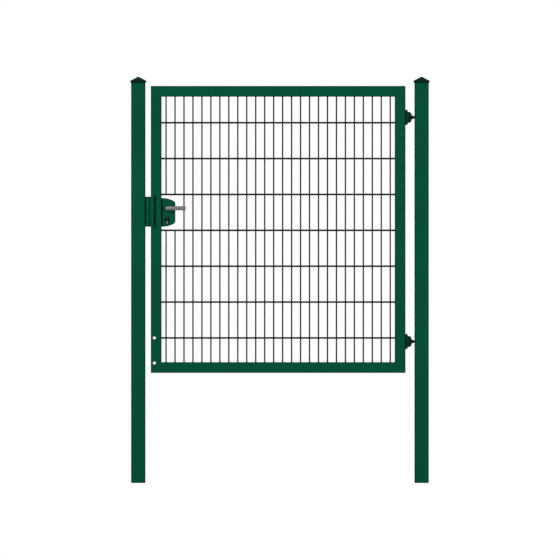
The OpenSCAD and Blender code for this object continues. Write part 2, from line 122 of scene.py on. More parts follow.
class Slot(Enum):
    """The record's material slots."""

    COAT = "coat"
    WIRE_COAT = "wire_coat"
    CAP_PLASTIC = "cap_plastic"
    BRACKET_COAT = "bracket_coat"
    BLACK_STEEL = "black_steel"
    STAINLESS = "stainless"
    BLACK_PLASTIC = "black_plastic"
    RUBBER = "rubber"
    ANODISED = "anodised"
    NICKEL = "nickel"


class Storey(Enum):
    """The two hinges."""

    UPPER = "upper"
    LOWER = "lower"


class Side(Enum):
    """The two faces of the leaf, by the sign of y."""

    FRONT = -1
    BACK = 1


# ------------------------------------------------------------------ finishes

class Bench:
    """The bench on which the nodes of a material or of the world are put together."""

    def __init__(self, owner: Union[Material, bpy.types.World]) -> None:
        """Clears the bench for a material or a world.

        Args:
            owner: the material or world, which gets its usual first nodes.
        """
        owner.use_nodes = True
        self.tree: NodeTree = owner.node_tree
        self.coordinates = self.node("ShaderNodeTexCoord")

    @property
    def shader(self) -> Node:
        """The material's main shader."""
        return self.tree.nodes["Principled BSDF"]

    def feed(self, socket: NodeSocket, value: Any) -> None:
        """Links a socket to another, or sets it to a fixed value.

        Args:
            socket: the input to feed.
            value: an output socket, or a number, colour or vector.
        """
        if isinstance(value, NodeSocket):
            self.tree.links.new(value, socket)
        else:
            socket.default_value = value

    def node(self, kind: str, feeds: Optional[dict] = None, **settings: Any) -> Node:
        """Adds a node.

        Args:
            kind: the node type's name.
            feeds: what each input, by name or number, is fed with.
            **settings: the node's own settings.

        Returns:
            The new node.
        """
        made = self.tree.nodes.new(kind)
        for key, value in settings.items():
            setattr(made, key, value)
        for key, value in (feeds or {}).items():
            self.feed(made.inputs[key], value)
        return made

    def sum(self, operation: str, first: Any, second: Any = 0.0) -> NodeSocket:
        """Works out one number from one or two.

        Args:
            operation: the sum's name, such as ADD.
            first: the first number or socket.
            second: the second number or socket.

        Returns:
            The socket with the result.
        """
        feeds = {0: first, 1: second}
        return self.node("ShaderNodeMath", feeds, operation=operation).outputs[0]

    def fade(self, value: Any, low: float, high: float,
             ends: Flat = (0.0, 1.0)) -> NodeSocket:
        """Turns a value into a soft step.

        Args:
            value: the value or socket that is read.
            low: where the step starts.
            high: where it ends.
            ends: the results below low and above high.

        Returns:
            The socket with the result.
        """
        feeds = {"Value": value, "From Min": low, "From Max": high,
                 "To Min": ends[0], "To Max": ends[1]}
        made = self.node("ShaderNodeMapRange", feeds, interpolation_type="SMOOTHSTEP")
        return made.outputs["Result"]

    def noise(self, size: Point, detail: float = 2.0) -> NodeSocket:
        """A soft random pattern on the piece's own coordinates.

        Args:
            size: the length of one blotch along x, y and z, in metres.
            detail: how many finer patterns are laid over it.

        Returns:
            The socket with the pattern, about 0 to 1.
        """
        scale = tuple(1.0 / s for s in size)
        feeds = {"Vector": self.coordinates.outputs["Object"], "Scale": scale}
        mapped = self.node("ShaderNodeMapping", feeds)
        feeds = {"Vector": mapped.outputs[0], "Scale": 1.0, "Detail": detail}
        return self.node("ShaderNodeTexNoise", feeds).outputs["Fac"]

    def mix(self, share: Any, first: Any, second: Any) -> NodeSocket:
        """Mixes two colours.

        Args:
            share: the second one's share.
            first: a colour or socket.
            second: a colour or socket.

        Returns:
            The socket with the mixed colour.
        """
        feeds = {0: share, 6: first, 7: second}
        return self.node("ShaderNodeMix", feeds, data_type="RGBA").outputs[2]

    def xyz(self, source: str) -> tuple[NodeSocket, NodeSocket, NodeSocket]:
        """The three parts of a texture coordinate, such as Object or Normal."""
        made = self.node("ShaderNodeSeparateXYZ", {0: self.coordinates.outputs[source]})
        return made.outputs[0], made.outputs[1], made.outputs[2]


@dataclass(frozen=True)
class Finish:
    """A surface finish. It becomes a material the first time that it is asked for.

    The colour varies a little over broad and fine patches and gets painted shade on
    the rounded edges, the roughness varies with the fine ones, and a grain gives the
    surface its relief.
    """

    name: str
    slot: Slot
    colour: Colour
    roughness: float
    metallic: float = 0.0
    specular: float = 0.5
    patch: Point = (0.35, 0.35, 0.35)       # size of the broad patches
    speck: Point = (0.006, 0.006, 0.006)    # size of the fine ones
    mottle: float = 0.10                    # how far the colour strays, as a share
    gloss_spread: float = 0.10              # how far the roughness strays
    grain: Point = (0.0015, 0.0015, 0.0015)
    relief: float = 0.00002                 # height of the grain
    painted_rim_shade: float = 1.0                  # how dark the painted shade on the rounded edges is, 1 for none
    broad_share: float = 0.6                # the broad patches' share of the colour
    fine_detail: float = 3.0                # finer patterns over the fine patches
    patch_fade: Flat = (0.3, 0.7)           # the noise between which a patch fades
    gloss_fade: Flat = (0.25, 0.75)         # the same for the roughness

    def material(self) -> Material:
        """Builds the finish's material, if there is none yet.

        Returns:
            The material.
        """
        if self.name not in MADE:
            MADE[self.name] = self.build()
        return MADE[self.name]

    def build(self) -> Material:
        """Builds the material.

        Returns:
            The new material.
        """
        material = bpy.data.materials.new(self.name)
        bench = Bench(material)
        bench.feed(bench.shader.inputs["Metallic"], self.metallic)
        bench.feed(bench.shader.inputs["Specular IOR Level"], self.specular)
        bench.feed(bench.shader.inputs["Base Color"], self.colouring(bench))
        bench.feed(bench.shader.inputs["Roughness"], self.glossing(bench))
        feeds = {"Height": self.height(bench), "Strength": 1.0, "Distance": self.relief}
        bump = bench.node("ShaderNodeBump", feeds)
        bench.feed(bench.shader.inputs["Normal"], bump.outputs[0])
        return material

    def shade(self, factor: float) -> tuple[float, float, float, float]:
        """The finish's colour made darker or lighter by a factor."""
        return (*(min(1.0, c * factor) for c in self.colour), 1.0)

    def colouring(self, bench: Bench) -> NodeSocket:
        """The colour, with its broad and fine patches and the painted shade on the rounded
        edges.

        Args:
            bench: the material's bench.

        Returns:
            The socket with the colour.
        """
        broad = bench.fade(bench.noise(self.patch), *self.patch_fade)
        fine = bench.fade(bench.noise(self.speck, self.fine_detail), *self.patch_fade)
        share = bench.sum("ADD", bench.sum("MULTIPLY", broad, self.broad_share),
                          bench.sum("MULTIPLY", fine, 1 - self.broad_share))
        plain = bench.mix(share, self.shade(1 - self.mottle), self.shade(1 + self.mottle))
        # painted shade: the rounded edges get a darker copy of the colour
        if self.painted_rim_shade == 1.0:
            return plain
        return bench.mix(self.painted_shade_mask(bench), plain, self.shade(self.painted_rim_shade))

    def painted_shade_mask(self, bench: Bench) -> NodeSocket:
        """Finds the rounded edges that get painted shade: 0 on the faces and 1 on the edges.
        """
        return bench.node("ShaderNodeAttribute", attribute_name=PAINTED_SHADE).outputs["Fac"]

    def glossing(self, bench: Bench) -> NodeSocket:
        """The roughness, which strays a little from place to place.

        Args:
            bench: the material's bench.

        Returns:
            The socket with the roughness.
        """
        spread = (self.roughness - self.gloss_spread, self.roughness + self.gloss_spread)
        noise = bench.noise(self.speck, self.fine_detail)
        return bench.fade(noise, *self.gloss_fade, spread)

    def height(self, bench: Bench) -> NodeSocket:
        """The height of the grain, from 0 to 1."""
        return bench.noise(self.grain)


@dataclass(frozen=True)
class TubeCoat(Finish):
    """The baked coat on straight tubes, with painted shade on their rounded corners."""

    turned: Flat = (0.999, 0.965)           # cosines where a corner's painted shade starts and is full

    def painted_shade_mask(self, bench: Bench) -> NodeSocket:
        """Finds the tube's corners, which face none of the three main directions and get
        painted shade.

        Args:
            bench: the material's bench.

        Returns:
            A socket from 0 on the flats to 1 on the corners.
        """
        x, y, z = (bench.sum("ABSOLUTE", part) for part in bench.xyz("Normal"))
        flat = bench.sum("MAXIMUM", bench.sum("MAXIMUM", x, y), z)
        return bench.fade(flat, *self.turned)


@dataclass(frozen=True)
class LeafCoat(TubeCoat):
    """The coat over the leaf's welded frame, with the ground seams at its mitres."""

    low: Flat = (0.0, 0.0)                  # the frame's lower corner in x and z
    high: Flat = (1.0, 1.0)                 # its upper corner
    seam: float = 0.0035                    # half the width of a ground seam
    hollow: float = 2.0                     # its depth, in heights of the grain

    def height(self, bench: Bench) -> NodeSocket:
        """The orange peel, with a faint hollow along each mitre.

        Args:
            bench: the material's bench.

        Returns:
            The socket with the height.
        """
        peel = super().height(bench)
        x, _, z = bench.xyz("Object")
        near_x = bench.sum("MINIMUM", bench.sum("SUBTRACT", x, self.low[0]),
                           bench.sum("SUBTRACT", self.high[0], x))
        near_z = bench.sum("MINIMUM", bench.sum("SUBTRACT", z, self.low[1]),
                           bench.sum("SUBTRACT", self.high[1], z))
        off = bench.sum("ABSOLUTE", bench.sum("SUBTRACT", near_x, near_z))
        ground = bench.fade(off, 0.0, self.seam, (-self.hollow, 0.0))
        return bench.sum("ADD", peel, ground)


@dataclass(frozen=True)
class BrushedMetal(Finish):
    """Bare metal, with the fine lines of its last pass along one axis."""

    lines: Axis = Axis.X
    long: float = 0.03                      # length of a line
    narrow: float = 0.0003                  # its width

    def height(self, bench: Bench) -> NodeSocket:
        """Fine lines, long along the axis and narrow across it."""
        size = tuple(self.long if along else self.narrow for along in self.lines.value[0])
        return bench.noise(size, self.fine_detail)


@dataclass(frozen=True)
class PaintedShadeMetal(BrushedMetal):
    """The cylinder's metal, with painted shade in a ring round the plug and along the web's
    sides.
    """

    centre: Flat = (0.0, 0.0)               # the plug's centre in x and z
    ring: float = 0.0082                    # outer radius of the painted shade's ring
    strip: float = 0.0040                   # half the width of the bright web
    painted_ring_shade: float = 0.03                # how dark the painted shade is
    blur: float = 0.0005                    # how soft the edge of the painted shade is

    def colouring(self, bench: Bench) -> NodeSocket:
        """The metal's colour, with nearly black painted shade on the ring and beside the web.

        Args:
            bench: the material's bench.

        Returns:
            The socket with the colour.
        """
        plain = super().colouring(bench)
        x, _, z = bench.xyz("Object")
        across = bench.sum("SUBTRACT", x, self.centre[0])
        up = bench.sum("SUBTRACT", z, self.centre[1])
        radius = bench.sum("SQRT", bench.sum("ADD", bench.sum("MULTIPLY", across, across),
                                             bench.sum("MULTIPLY", up, up)))
        inside = bench.fade(radius, self.ring, self.ring - self.blur)
        beside = bench.fade(bench.sum("ABSOLUTE", across), self.strip,
                            self.strip + self.blur)
        # painted shade: a ring round the plug and a shadow gap beside the web
        dark = bench.sum("MAXIMUM", inside, beside)
        return bench.mix(dark, plain, self.shade(self.painted_ring_shade))


@dataclass(frozen=True)
class Moulded(Finish):
    """Moulded plastic or rubber, with a spark-eroded grain and slight dulling."""

    chalk: float = 0.12                     # how much the grain's tips lighten
    tip_fade: Flat = (0.5, 0.85)            # the noise between which a tip starts
    tip_shade: float = 3.0                  # how light a tip is

    def colouring(self, bench: Bench) -> NodeSocket:
        """The plastic's colour, with its grain's tips a shade lighter.

        Args:
            bench: the material's bench.

        Returns:
            The socket with the colour.
        """
        plain = super().colouring(bench)
        tips = bench.fade(bench.noise(self.grain), *self.tip_fade, (0.0, self.chalk))
        return bench.mix(tips, plain, self.shade(self.tip_shade))


class Paintshop:
    """Every finish of the gate."""

    GREEN = (0.0004, 0.083, 0.0440)
    # the coats, the bracket, the cap and the lever get painted shade on their rounded edges
    TUBE = TubeCoat("green_tube_coat", Slot.COAT, GREEN, 0.6, specular=0.04,
                    painted_rim_shade=0.15)
    COAT = Finish("green_powder_coat", Slot.COAT, GREEN, 0.6, specular=0.04,
                  painted_rim_shade=0.15)
    WIRE = Finish("dark_wire_coat", Slot.WIRE_COAT, (0.002, 0.009, 0.006), 0.7,
                  specular=0.03, relief=0.00001, mottle=0.15)
    BRACKET = Finish("hinge_bracket_coat", Slot.BRACKET_COAT, (0.002, 0.026, 0.019), 0.6,
                     specular=0.05, painted_rim_shade=0.25)
    CAP = Moulded("moulded_cap_green", Slot.CAP_PLASTIC, (0.002, 0.030, 0.021), 0.6,
                  specular=0.03, grain=(0.0006,) * 3, relief=0.00002, painted_rim_shade=0.08)
    BLACK_STEEL = Finish("blackened_steel", Slot.BLACK_STEEL, (0.0015, 0.0035, 0.0032), 0.5,
                         specular=0.06, speck=(0.003,) * 3, grain=(0.0007,) * 3,
                         relief=0.00001, mottle=0.25)
    BLACK_PLASTIC = Moulded("moulded_black", Slot.BLACK_PLASTIC, (0.001, 0.004, 0.003),
                            0.6, specular=0.05, grain=(0.0005,) * 3, relief=0.00001)
    RUBBER = Moulded("buffer_rubber", Slot.RUBBER, (0.001, 0.016, 0.008), 0.8,
                     specular=0.04, grain=(0.0008, 0.0008, 0.004), relief=0.00001)
    STAINLESS = BrushedMetal("stainless_steel", Slot.STAINLESS, (0.42, 0.42, 0.41), 0.3,
                             metallic=1.0, relief=0.000002, mottle=0.05)
    LEVER = BrushedMetal("anodised_lever", Slot.ANODISED, (0.14, 0.144, 0.144), 0.42,
                         metallic=0.85, relief=0.000002, mottle=0.06, painted_rim_shade=0.1)
    NICKEL = BrushedMetal("satin_nickel", Slot.NICKEL, (0.135, 0.135, 0.131), 0.35,
                          metallic=1.0, relief=0.000001, lines=Axis.Z, mottle=0.06)
    # the plug's nickel, nearly black with painted shade
    PLUG = BrushedMetal("plug_nickel_painted_shade", Slot.NICKEL, (0.014, 0.014, 0.0135), 0.35,
                        metallic=1.0, relief=0.000001, mottle=0.06)


# ------------------------------------------------------------------ shaping

class Stock:
    """A mesh on the workbench, shaped with bmesh operators."""

    def __init__(self) -> None:
        """Starts with nothing but the attribute that marks the rounded edges for painted
        shade.
        """
        self.bm = bmesh.new()
        self.bm.faces.layers.float.new(PAINTED_SHADE)

    def block(self, low: Point, high: Point) -> list[BMVert]:
        """Adds a block.

        Args:
            low: its lowest corner.
            high: its highest corner.

        Returns:
            Its eight points.
        """
        low, high = Vector(low), Vector(high)
        made = bmesh.ops.create_cube(self.bm, size=1.0)["verts"]
        bmesh.ops.scale(self.bm, vec=high - low, verts=made)
        bmesh.ops.translate(self.bm, vec=(low + high) / 2, verts=made)
        return made

    def rod(self, start: Point, axis: Axis, length: float, radii: Flat,
            sides: int) -> None:
        """Adds a straight rod or a short cone.

        Args:
            start: the centre of its first end.
            axis: the axis that it lies along.
            length: its length.
            radii: its radius at the first and at the other end.
            sides: how many sides it has.
        """
        made = bmesh.ops.create_cone(
            self.bm, cap_ends=True, segments=sides, radius1=radii[0], radius2=radii[1],
            depth=length)["verts"]
        turn = Vector((0, 0, 1)).rotation_difference(axis.along).to_matrix()
        bmesh.ops.rotate(self.bm, cent=(0, 0, 0), matrix=turn, verts=made)
        centre = Vector(start) + axis.along * length / 2
        bmesh.ops.translate(self.bm, vec=centre, verts=made)

    def lathe(self, centre: Point, axis: Axis, profile: Sequence[Flat], steps: int = 48,
              ring: bool = False) -> None:
        """Turns a profile round an axis.

        Args:
            centre: a point on the axis, from which the profile is measured.
            axis: the axis.
            profile: the distance along the axis and the radius of each of its points.
            steps: how many steps a full turn has.
            ring: whether the profile's last point joins its first.
        """
        centre = Vector(centre)
        points = [self.bm.verts.new(centre + axis.along * a + axis.across * r)
                  for a, r in profile]
        pairs = list(zip(points, points[1:]))
        if ring:
            pairs.append((points[-1], points[0]))
        edges = [self.bm.edges.new(pair) for pair in pairs]
        bmesh.ops.spin(self.bm, geom=[*points, *edges], cent=centre, axis=axis.along,
                       angle=math.tau, steps=steps, use_merge=True)

    def raise_face(self, face: BMFace, shift: Point, scale: float = 1.0) -> BMFace:
        """Extrudes a face. A face that stands alone stays behind as the foot.

        Args:
            face: the face to extrude.
            shift: how far it moves.
            scale: how much it grows round its centre.

        Returns:
            The face at the new place.
        """
        alone = all(len(edge.link_faces) == 1 for edge in face.edges)
        made = bmesh.ops.extrude_face_region(self.bm, geom=[face])["geom"]
        top = next(g for g in made if isinstance(g, BMFace))
        if not alone:
            bmesh.ops.delete(self.bm, geom=[face], context="FACES_ONLY")
        bmesh.ops.translate(self.bm, vec=shift, verts=top.verts)
        to_centre = Matrix.Translation(-top.calc_center_median())
        grow = Vector((scale, scale, 1.0)) if abs(Vector(shift).z) else Vector((scale,) * 3)
        bmesh.ops.scale(self.bm, vec=grow, space=to_centre, verts=top.verts)
        return top

    def tidy(self) -> None:
        """Merges points that lie on each other, and turns every face outwards."""
        bmesh.ops.remove_doubles(self.bm, verts=self.bm.verts, dist=MERGE)
        bmesh.ops.recalc_face_normals(self.bm, faces=self.bm.faces)

    def soften(self, width: float, segments: int = 2,
               only: Optional[Iterable[BMVert]] = None, sharper: float = 30.0,
               longer: float = 0.0) -> None:
        """Rounds the sharp edges and marks the rounding for painted shade.

        Args:
            width: the width of the rounding.
            segments: how many faces go round it.
            only: the points whose edges are rounded, or none for all.
            sharper: the least angle between faces that counts as sharp, in degrees.
            longer: the least length of an edge that is rounded.
        """
        chosen = set(only) if only is not None else None
        self.tidy()
        edges = [e for e in self.bm.edges
                 if len(e.link_faces) == 2 and e.calc_face_angle() > math.radians(sharper)
                 and e.calc_length() > longer
                 and (chosen is None or all(v in chosen for v in e.verts))]
        made = bmesh.ops.bevel(self.bm, geom=edges, offset=width, segments=segments,
                               profile=0.5, affect="EDGES", material=-1,
                               clamp_overlap=True)
        self.mark_painted_shade(made["faces"])

    def mark_painted_shade(self, faces: Iterable[BMFace]) -> None:
        """Marks faces that get painted shade, as rounded edges do.

        Args:
            faces: the faces.
        """
        layer = self.bm.faces.layers.float[PAINTED_SHADE]
        for face in faces:
            face[layer] = 1.0

    def mirror_y(self) -> None:
        """Adds a mirrored copy of everything on the other side of the leaf."""
        everything = [*self.bm.verts, *self.bm.edges, *self.bm.faces]
        bmesh.ops.mirror(self.bm, geom=everything, matrix=Matrix.Identity(4), axis="Y",
                         merge_dist=-1.0)

    def join_at(self, level: float) -> None:
        """Makes one solid of two that meet at a level and share its outer outline.

        Args:
            level: the height at which they meet.
        """
        self.tidy()
        touching = [f for f in self.bm.faces
                    if all(abs(v.co.z - level) < MERGE for v in f.verts)]
        bmesh.ops.delete(self.bm, geom=touching, context="FACES_ONLY")
        rim = [e for e in self.bm.edges if len(e.link_faces) == 1]
        bmesh.ops.holes_fill(self.bm, edges=rim, sides=len(rim))

    def copy_node(self, node: str) -> None:
        """Adds a merged copy of a CAD node's mesh, with its flat faces made whole.

        Args:
            node: the CAD node's name.
        """
        self.bm.from_mesh(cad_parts[node].data)
        bmesh.ops.remove_doubles(self.bm, verts=self.bm.verts, dist=MERGE)
        bmesh.ops.dissolve_limit(self.bm, angle_limit=math.radians(FLAT),
                                 verts=self.bm.verts, edges=self.bm.edges)

    def piece(self, name: str, finish: Finish, body: Body, *replaced: str) -> Object:
        """Takes the mesh off the bench as a finished piece of the gate.

        Args:
            name: the piece's name.
            finish: its finish.
            body: the body that it rides on.
            *replaced: the CAD nodes that it stands for.

        Returns:
            The piece.
        """
        self.tidy()
        mesh = bpy.data.meshes.new(name)
        self.bm.to_mesh(mesh)
        self.bm.free()
        mesh.shade_smooth()
        mesh.set_sharp_from_angle(angle=math.radians(SMOOTH_UNDER))
        mesh.materials.append(finish.material())
        made = bpy.data.objects.new(name, mesh)
        bpy.context.scene.collection.objects.link(made)
        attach(made, body.value)
        if replaced:
            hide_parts(*replaced)
        return made


class Outline:
    """A closed outline, drawn point by point in one plane of the stock."""

    def __init__(self, stock: Stock, plane: Plane, level: float, start: Flat,
                 rounding: float = 0.0) -> None:
        """Sets the pen down.

        Args:
            stock: the stock to draw on.
            plane: the plane to draw in.
            level: where the plane lies.
            start: the first point.
            rounding: the radius of the outline's corner there.
        """
        self.stock, self.plane, self.level = stock, plane, level
        self.before = set(stock.bm.faces)
        self.first = self.last = stock.bm.verts.new(plane.place(start, level))
        self.points = [self.first]
        self.edges: list[BMEdge] = []
        self.corners: dict[float, list[BMVert]] = {}
        self.note_corner(rounding)

    def note_corner(self, rounding: float) -> None:
        """Notes that the corner at the pen is to be rounded."""
        if rounding:
            self.corners.setdefault(rounding, []).append(self.last)

    def to(self, point: Flat, rounding: float = 0.0) -> "Outline":
        """Draws a straight run.

        Args:
            point: where it ends.
            rounding: the radius of the outline's corner there.

        Returns:
            The outline.
        """
        made = bmesh.ops.extrude_vert_indiv(self.stock.bm, verts=[self.last])
        self.last = made["verts"][0]
        self.last.co = self.plane.place(point, self.level)
        self.points.append(self.last)
        self.edges += made["edges"]
        self.note_corner(rounding)
        return self

    def turn(self, centre: Flat, degrees: float, steps: int) -> None:
        """Draws an arc.

        Args:
            centre: the arc's centre.
            degrees: how far it goes round, from the plane's first to its second axis.
            steps: how many straight steps it has.
        """
        bm = self.stock.bm
        known_points, known_edges = set(bm.verts), set(bm.edges)
        made = bmesh.ops.spin(
            bm, geom=[self.last], cent=self.plane.place(centre, self.level),
            axis=self.plane.turning, angle=math.radians(degrees), steps=steps)
        self.points += [v for v in bm.verts if v not in known_points]
        self.edges += [e for e in bm.edges if e not in known_edges]
        self.last = next(g for g in made["geom_last"] if isinstance(g, BMVert))

    def close(self) -> BMFace:
        """Closes the outline, fills it and rounds its corners.

        Returns:
            The flat face.
        """
        bm = self.stock.bm
        self.edges.append(bm.edges.new((self.last, self.first)))
        bmesh.ops.contextual_create(bm, geom=[*self.points, *self.edges])
        for radius, points in self.corners.items():
            bmesh.ops.bevel(bm, geom=points, offset=radius, segments=CORNER_STEPS,
                            profile=0.5, affect="VERTICES", material=-1)
        return next(f for f in bm.faces if f not in self.before)

    def extrude(self, length: float) -> None:
        """Closes the outline and gives it a depth, along X, Y or Z."""
        self.stock.raise_face(self.close(), self.plane.place((0.0, 0.0), length))


def dress(finish: Finish, *nodes: str) -> list[Object]:
    """Gives CAD nodes that are shown as they are a finish.

    Args:
        finish: the finish.
        *nodes: the nodes' names.

    Returns:
        The nodes' objects.
    """
    dressed = [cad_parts[name] for name in nodes]
    for shown in dressed:
        for slot in shown.material_slots:
            slot.material = finish.material()
    return dressed


def middle(node: str) -> Vector:
    """The centre of a CAD node's box."""
    low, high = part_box(node)
    return (low + high) / 2


# ------------------------------------------------------------------ posts

@dataclass
class PostCap:
    """A moulded pyramid cap on one of the posts."""

    node: str
    wall: float = 0.0013          # wall of the skirt
    skirt: float = 0.011          # from the rim to the eave
    taper: float = 0.007          # the slanted underside of the eave
    eave_out: float = 0.0049      # how far the eave stands out past the skirt
    edge: float = 0.0025          # the eave's upright edge
    corner: float = 0.008         # rounding of the skirt's corners
    corner_steps: int = 5
    tip: float = 0.02             # the flat on the pyramid's tip, as a share
    rounding: float = 0.0007      # of the edges, which get painted shade
    gentle: float = 18.0          # degrees, above which an edge is rounded

    def build(self) -> Object:
        """Builds the cap.

        Returns:
            The cap.
        """
        low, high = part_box(self.node)
        eave = (high.x - low.x) / 2
        skirt = eave - self.eave_out
        stock = Stock()
        rim = bmesh.ops.create_circle(stock.bm, cap_ends=True, segments=4,
                                      radius=skirt * math.sqrt(2))["verts"]
        turn = Matrix.Rotation(math.radians(45), 3, "Z")
        bmesh.ops.rotate(stock.bm, cent=(0, 0, 0), matrix=turn, verts=rim)
        centre = Vector(((low.x + high.x) / 2, (low.y + high.y) / 2, low.z))
        bmesh.ops.translate(stock.bm, vec=centre, verts=rim)
        bmesh.ops.bevel(stock.bm, geom=rim, offset=self.corner, profile=0.5,
                        segments=self.corner_steps, affect="VERTICES", material=-1)
        rise = high.z - low.z - self.skirt - self.edge
        steps = ((self.skirt - self.taper, 1.0), (self.taper, eave / skirt),
                 (self.edge, 1.0), (rise, self.tip))
        top = stock.bm.faces[:][0]
        for height, growth in steps:
            top = stock.raise_face(top, (0, 0, height), growth)
        stock.tidy()
        bottom = min(stock.bm.faces, key=lambda f: f.calc_center_median().z)
        bmesh.ops.inset_region(stock.bm, faces=[bottom], thickness=self.wall,
                               use_even_offset=True)
        bottom = min(stock.bm.faces, key=lambda f: (round(f.calc_center_median().z, 5),
                                                    -f.calc_area()))
        stock.raise_face(bottom, (0, 0, self.skirt))
        stock.soften(self.rounding, sharper=self.gentle)
        # the eave's upright edge gets painted shade too
        eave_z = low.z + self.skirt + self.edge / 2
        stock.mark_painted_shade(f for f in stock.bm.faces if abs(f.normal.z) < 0.1
                       and abs(f.calc_center_median().z - eave_z) < self.edge / 4)
        return stock.piece(self.node + "_shell", Paintshop.CAP, Body.POSTS, self.node)


@dataclass
class Posts:
    """The two square posts and their caps."""

    posts: tuple[str, str] = ("latch_post", "hinge_post")
    caps: tuple[str, str] = ("latch_post_cap", "hinge_post_cap")

    def build(self) -> list[Object]:
        """Dresses the tubes and builds the caps.

        Returns:
            The posts and the caps.
        """
        return [*dress(Paintshop.TUBE, *self.posts),
                *(PostCap(node).build() for node in self.caps)]


# ------------------------------------------------------------------ keeper

@dataclass
class Keeper:
    """The bent keeper on the latch post, its screws and its rubber edge."""

    thickness: float = 0.004      # of the steel plate
    box_width: float = 0.021      # from the post to the step
    step_width: float = 0.004     # of the slanted step
    step: float = 0.0065          # how far the box stands forward of the plate
    bend: float = 0.005           # outer radius of a bend
    inner_bend: float = 0.0015    # inner radius of a bend
    plate_edge: float = 0.0006    # rounding of the plate's cut edges, which get painted shade
    slanted: Flat = (0.2, 0.98)   # a slanted face's lean, between front and side; such faces get painted shade
    screw_heights: tuple[float, float, float] = (-0.067, 0.019, 0.074)
    screw_back: float = 0.007     # distance of the screws behind the leaf's middle
    screw_sunk: float = 0.001     # how far a head goes into the plate
    screw_radius: float = 0.0055
    dome_height: float = 0.003
    dome_flatness: float = 0.7    # 1 is round, and less is flatter
    dome_angles: tuple[int, ...] = (0, 20, 40, 60)
    socket_share: float = 0.42    # the socket's share of the head's radius
    socket_depth: float = 0.0016
    skin: float = 0.0025          # rubber round the plate's edge
    rubber_nose: float = 0.0025   # rounding of the rubber's free front corner
    rubber_corner: float = 0.0015 # of its other corners
    rubber_edge: float = 0.0004   # of its rims
    rubber_top: float = 0.86      # how much its top draws in

    def build(self) -> list[Object]:
        """Builds the keeper's three pieces."""
        return [self.plate(), self.screws(), self.buffer()]

    def plate(self) -> Object:
        """Bends the steel plate.

        Returns:
            The keeper.
        """
        low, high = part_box("keeper")
        t, box, step = self.thickness, low.x + self.box_width, self.step_width
        stop = low.y + self.step
        stock = Stock()
        outline = Outline(stock, Plane.PLAN, low.z, (low.x, high.y))
        outline.to((low.x, low.y), self.bend).to((box, low.y), self.inner_bend)
        outline.to((box + step, stop), self.inner_bend).to((high.x, stop))
        outline.to((high.x, stop + t)).to((box + step - t / 2, stop + t), self.inner_bend)
        outline.to((box - t / 2, low.y + t), self.inner_bend)
        outline.to((low.x + t, low.y + t), self.inner_bend).to((low.x + t, high.y))
        outline.extrude(high.z - low.z)
        stock.soften(self.plate_edge, sharper=SQUARE)
        # the slanted step and the bends get painted shade too
        least, most = self.slanted
        stock.mark_painted_shade(f for f in stock.bm.faces if least < abs(f.normal.x) < most)
        return stock.piece("keeper_plate", Paintshop.COAT, Body.POSTS, "keeper")

    def screws(self) -> Object:
        """Makes the dome-headed screws in the keeper's base.

        Returns:
            The screws.
        """
        low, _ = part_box("keeper")
        centre = middle("keeper")
        head, socket = self.screw_radius, self.screw_radius * self.socket_share
        sunk, tall = -self.screw_sunk, self.dome_height
        floor = tall - self.socket_depth
        dome = [(tall * math.sin(a), head * math.cos(a) ** self.dome_flatness)
                for a in map(math.radians, self.dome_angles)]
        stock = Stock()
        for height in self.screw_heights:
            seat = Vector((low.x + self.thickness, self.screw_back, centre.z + height))
            stock.lathe(seat, Axis.X, [(sunk, 0.0), (sunk, head), *dome, (tall, socket),
                                       (floor, socket), (floor, 0.0)], 24)
        return stock.piece("keeper_screws", Paintshop.BLACK_STEEL, Body.POSTS)

    def buffer(self) -> Object:
        """Makes the rubber edge: a clip round the plate's edge, closed at its top.

        Returns:
            The rubber edge.
        """
        low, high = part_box("keeper_buffer")
        plate_low, plate_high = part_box("keeper")
        front = plate_low.y + self.step
        back, inner = front + self.thickness, high.x - self.skin
        r, nose = self.rubber_corner, self.rubber_nose
        stock = Stock()
        clip = Outline(stock, Plane.PLAN, low.z, (low.x, low.y), r)
        clip.to((high.x, low.y), nose).to((high.x, high.y), r).to((low.x, high.y), r)
        clip.to((low.x, back)).to((inner, back)).to((inner, front)).to((low.x, front))
        clip.extrude(plate_high.z - low.z)
        cover = Outline(stock, Plane.PLAN, plate_high.z, (low.x, low.y), r)
        cover.to((high.x, low.y), nose).to((high.x, high.y), r).to((low.x, high.y), r)
        cover.to((low.x, back)).to((low.x, front))
        half = (high.z - plate_high.z) / 2
        face = stock.raise_face(cover.close(), (0, 0, half))
        stock.raise_face(face, (0, 0, half), self.rubber_top)
        stock.join_at(plate_high.z)
        stock.soften(self.rubber_edge, sharper=SQUARE)
        return stock.piece("keeper_rubber", Paintshop.RUBBER, Body.POSTS, "keeper_buffer")


# ------------------------------------------------------------------ leaf

@dataclass
class LeafFrame:
    """The welded tube frame of the leaf."""

    tubes: tuple[str, ...] = ("lock_stile", "hinge_stile", "top_rail", "bottom_rail")

    def build(self) -> list[Object]:
        """Dresses the four tubes in one coat.

        Returns:
            The tubes.
        """
        low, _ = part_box("lock_stile")
        _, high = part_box("hinge_stile")
        base = Paintshop.TUBE
        # the leaf's coat keeps the painted shade on the tubes' corners
        coat = LeafCoat("leaf_tube_coat", base.slot, base.colour, base.roughness,
                        specular=base.specular, painted_rim_shade=base.painted_rim_shade,
                        low=(low.x, low.z), high=(high.x, high.z))
        return dress(coat, *self.tubes)


